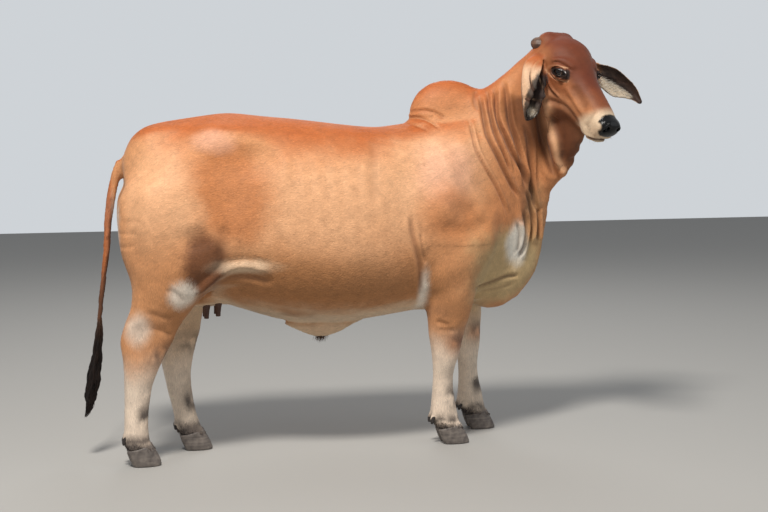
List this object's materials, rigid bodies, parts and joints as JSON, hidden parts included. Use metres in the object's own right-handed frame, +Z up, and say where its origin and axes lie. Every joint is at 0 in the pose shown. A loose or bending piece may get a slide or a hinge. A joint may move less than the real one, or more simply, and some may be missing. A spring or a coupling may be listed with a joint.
{
  "type": "standing brahman cattle model",
  "caption": "Life-size still model of a standing brahman cow with a shoulder hump, hanging dewlap, long drooping ears and head turned to its right side.",
  "frame": {"origin": "middle of the bounding box, on the floor under the hooves", "axes": "+X from the tail to the chest, +Y to the animal's left, +Z up"},
  "size_m": [2.367, 0.7874, 1.7304],
  "materials": {
    "coat": "short flat hair",
    "head_coat": "short flat hair",
    "leg_coat": "short pale hair",
    "bare_skin": "smooth skin",
    "switch_hair": "long coarse hair",
    "horn": "rough horn",
    "hoof": "worn horn",
    "eye": "wet gloss"
  },
  "bodies": {
    "root": {"torso": "coat", "hump": "coat", "neck": "coat", "dewlap": "coat", "navel_flap": "coat", "udder": "bare_skin", "head": "head_coat", "ear_left": "coat", "ear_right": "coat", "tail_upper": "coat", "tail_lower": "coat", "tail_switch": "switch_hair", "eye_left": "eye", "eye_right": "eye", "horn_bud_left": "horn", "horn_bud_right": "horn", "foreleg_right_upper": "coat", "foreleg_right_lower": "leg_coat", "hoof_foreleg_right_left": "hoof", "hoof_foreleg_right_right": "hoof", "foreleg_left_upper": "coat", "foreleg_left_lower": "leg_coat", "hoof_foreleg_left_left": "hoof", "hoof_foreleg_left_right": "hoof", "hindleg_right_upper": "coat", "hindleg_right_lower": "leg_coat", "hoof_hindleg_right_left": "hoof", "hoof_hindleg_right_right": "hoof", "hindleg_left_upper": "coat", "hindleg_left_lower": "leg_coat", "hoof_hindleg_left_left": "hoof", "hoof_hindleg_left_right": "hoof"}
  },
  "joints": []
}
